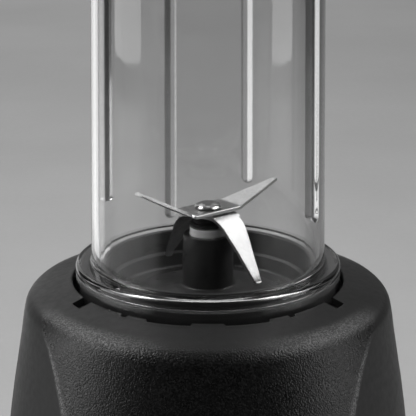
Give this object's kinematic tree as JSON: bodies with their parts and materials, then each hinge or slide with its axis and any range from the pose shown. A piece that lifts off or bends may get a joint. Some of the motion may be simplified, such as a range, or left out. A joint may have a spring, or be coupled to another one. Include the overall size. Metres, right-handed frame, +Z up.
{
  "type": "countertop blender",
  "caption": "Personal blender: flared black motor base with a recessed seat, and an inverted clear ribbed cup over a bladed post in a black screw-in holder.",
  "frame": {"origin": "centre of the base's footprint, at the undersides of the feet", "axes": "+Z up along the blade spindle, -Y towards the user (front), +X to the user's right"},
  "size_m": [0.1546, 0.1614, 0.316],
  "materials": {
    "grained_black": "fine leather-like grain",
    "smooth_black": "smooth semi-gloss moulding",
    "clear_plastic": "clear, polished",
    "black_rubber": "matt",
    "blade_steel": "brushed along the blade",
    "polished_steel": "polished",
    "shaft_steel": "ground",
    "lamination_steel": "stacked laminations",
    "bracket_steel": "zinc plated",
    "sintered_bronze": "oil-filled sintered bronze",
    "copper": "enamelled copper wire",
    "carbon": "pressed carbon",
    "brass": "drawn brass",
    "board_green": "coated board",
    "component_plastic": "moulded case",
    "nylon": "moulded nylon"
  },
  "bodies": {
    "motor_base": {"base_housing": "grained_black", "cup_seat": "smooth_black", "bottom_cover": "smooth_black", "foot_front_left": "black_rubber", "foot_front_right": "black_rubber", "foot_back_left": "black_rubber", "foot_back_right": "black_rubber", "cover_screw_front_left": "bracket_steel", "cover_screw_front_right": "bracket_steel", "cover_screw_back_left": "bracket_steel", "cover_screw_back_right": "bracket_steel", "cord_gland": "black_rubber", "motor_mount_lower": "black_rubber", "motor_mount_upper": "black_rubber", "motor_bracket_lower": "bracket_steel", "motor_bracket_upper": "bracket_steel", "motor_bearing_lower": "sintered_bronze", "motor_bearing_upper": "sintered_bronze", "stator_core": "lamination_steel", "field_coil_front": "copper", "field_coil_back": "copper", "brush_holder_front": "brass", "brush_holder_back": "brass", "brush_front": "carbon", "brush_back": "carbon", "control_board": "board_green", "noise_capacitor": "component_plastic", "power_relay": "component_plastic", "microswitch_left": "nylon", "microswitch_right": "nylon", "interlock_spring_left": "shaft_steel", "interlock_spring_right": "shaft_steel"},
    "rotor": {"motor_shaft": "shaft_steel", "armature_core": "lamination_steel", "armature_winding_top": "copper", "armature_winding_bottom": "copper", "commutator": "copper", "cooling_fan": "nylon", "drive_coupling": "smooth_black"},
    "plunger_left": {"interlock_plunger_left": "nylon"},
    "plunger_right": {"interlock_plunger_right": "nylon"},
    "holder_assembly": {"blade_holder": "smooth_black", "holder_gasket": "black_rubber", "post_bush_upper": "polished_steel", "spindle_seal": "black_rubber", "post_bush_lower": "sintered_bronze"},
    "cutter": {"blade_spindle": "shaft_steel", "blade_spacer": "black_rubber", "upper_blade": "blade_steel", "lower_blade": "blade_steel", "blade_bolt": "polished_steel", "driven_coupling": "smooth_black"},
    "cup": {"clear_cup": "clear_plastic"}
  },
  "joints": [
    {"name": "motor_spin", "type": "hinge", "parent": "motor_base", "child": "rotor", "pos_m": [0, 0, 0.068], "axis": [0, 0, 1], "continuous": true},
    {"name": "cup_lift_off", "type": "slide", "parent": "motor_base", "child": "holder_assembly", "axis": [0, 0, 1], "range_m": [0, 0.05]},
    {"name": "cup_twist", "type": "hinge", "parent": "holder_assembly", "child": "cup", "pos_m": [0, 0, 0.14], "axis": [0, 0, -1], "range_deg": [0, 20]},
    {"name": "blade_spin", "type": "hinge", "parent": "holder_assembly", "child": "cutter", "pos_m": [0, 0, 0.15], "axis": [0, 0, 1], "continuous": true},
    {"name": "plunger_left_press", "type": "slide", "parent": "motor_base", "child": "plunger_left", "axis": [0, 0, -1], "range_m": [0, 0.0023], "stiffness_N_per_m": 500, "springref_m": -0.001, "deforming": ["interlock_spring_left"]},
    {"name": "plunger_right_press", "type": "slide", "parent": "motor_base", "child": "plunger_right", "axis": [0, 0, -1], "range_m": [0, 0.0023], "stiffness_N_per_m": 500, "springref_m": -0.001, "deforming": ["interlock_spring_right"]}
  ],
  "couplings": [
    {"joint": "blade_spin", "follows": "motor_spin", "ratio": 1},
    {"joint": "plunger_left_press", "follows": "cup_twist", "m_per_rad": 0.0063025},
    {"joint": "plunger_right_press", "follows": "cup_twist", "m_per_rad": 0.0063025}
  ]
}
